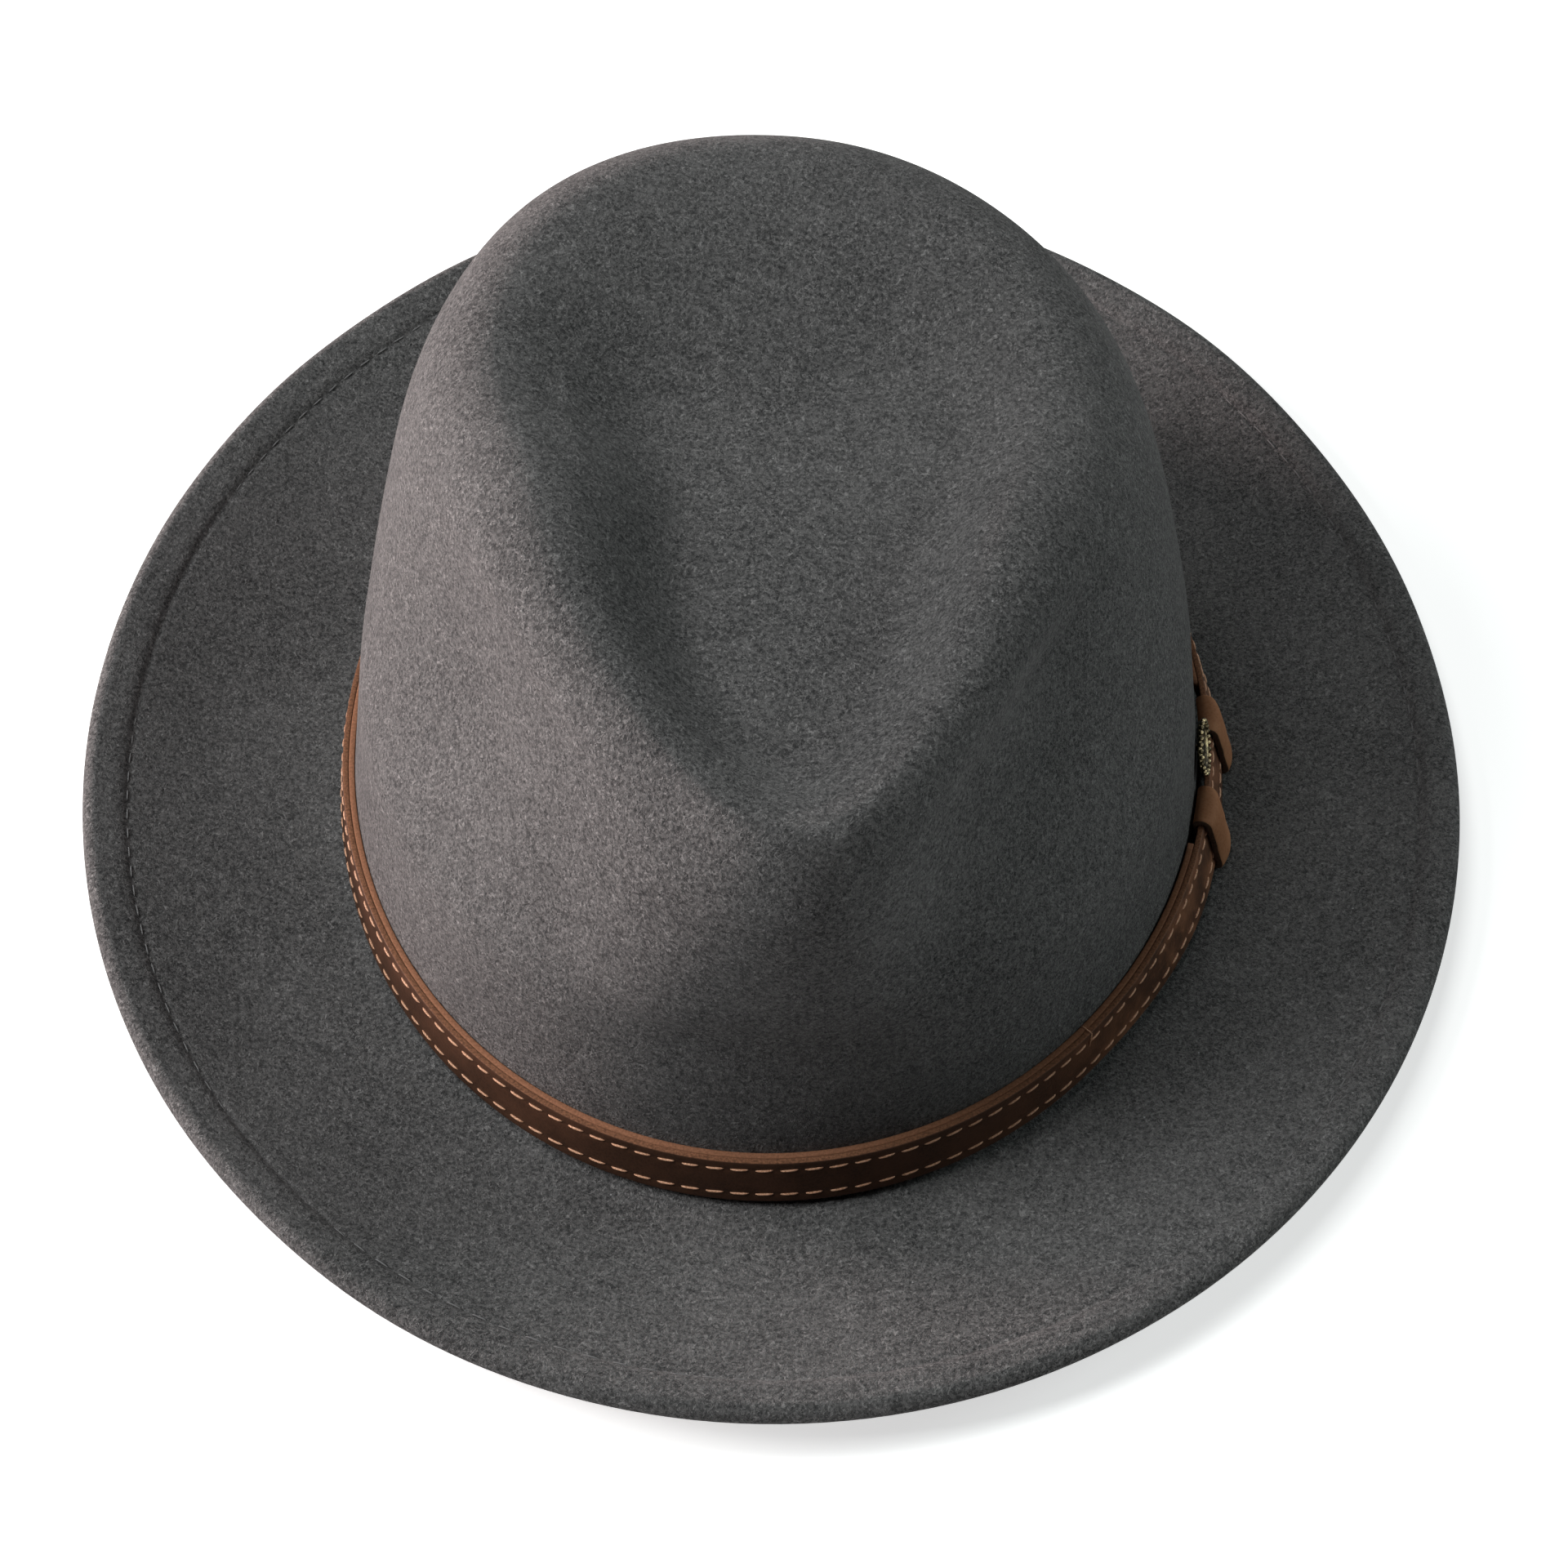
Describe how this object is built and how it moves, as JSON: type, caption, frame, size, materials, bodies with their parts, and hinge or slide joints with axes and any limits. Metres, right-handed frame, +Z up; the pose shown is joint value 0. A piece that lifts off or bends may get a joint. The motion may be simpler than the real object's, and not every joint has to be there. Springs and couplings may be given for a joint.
{
  "type": "fedora hat",
  "caption": "Felt fedora with a teardrop crease and front pinches, an upturned sewn brim edge, a stitched leather band with sliding loops, a small badge, a sweatband and a lining.",
  "frame": {"origin": "bottom centre: the surface the hat lies on, under the middle of the brim", "axes": "+X towards the wearer's left, -Y towards the front, +Z up"},
  "size_m": [0.2817, 0.3168, 0.1158],
  "materials": {
    "felt": "matte wool felt",
    "brim_thread": "matte thread",
    "band_leather": "oiled, satin",
    "backing_leather": "raw cut edge, matte",
    "loop_leather": "soft nap, matte",
    "band_thread": "waxed thread",
    "badge_metal": "antique, dark in the recesses",
    "wire_steel": "plain",
    "sweat_leather": "smooth, satin",
    "sweat_thread": "matte thread",
    "reed_plastic": "covered cord",
    "ribbon": "ribbed ribbon",
    "lining_satin": "satin weave"
  },
  "bodies": {
    "hat": {"felt_body": "felt", "brim_wire": "wire_steel", "brim_stitching": "brim_thread", "band_face": "band_leather", "band_backing": "backing_leather", "band_stitching_upper": "band_thread", "band_stitching_lower": "band_thread", "band_tacks": "band_thread", "badge": "badge_metal", "badge_washer": "wire_steel", "sweatband": "sweat_leather", "sweatband_reed": "reed_plastic", "sweatband_stitching": "sweat_thread", "sweatband_bow": "ribbon", "lining_side": "lining_satin", "lining_tip": "lining_satin"},
    "front_loop": {"front_loop": "loop_leather"},
    "rear_loop": {"rear_loop": "loop_leather"}
  },
  "joints": [
    {"name": "front_loop_slide", "type": "hinge", "parent": "hat", "child": "front_loop", "pos_m": [-0.03969, 0, 0], "axis": [0, 0, 1], "range_deg": [-2.02, 0]},
    {"name": "rear_loop_slide", "type": "hinge", "parent": "hat", "child": "rear_loop", "pos_m": [-0.03969, 0, 0], "axis": [0, 0, 1], "range_deg": [0, 2.02]}
  ]
}
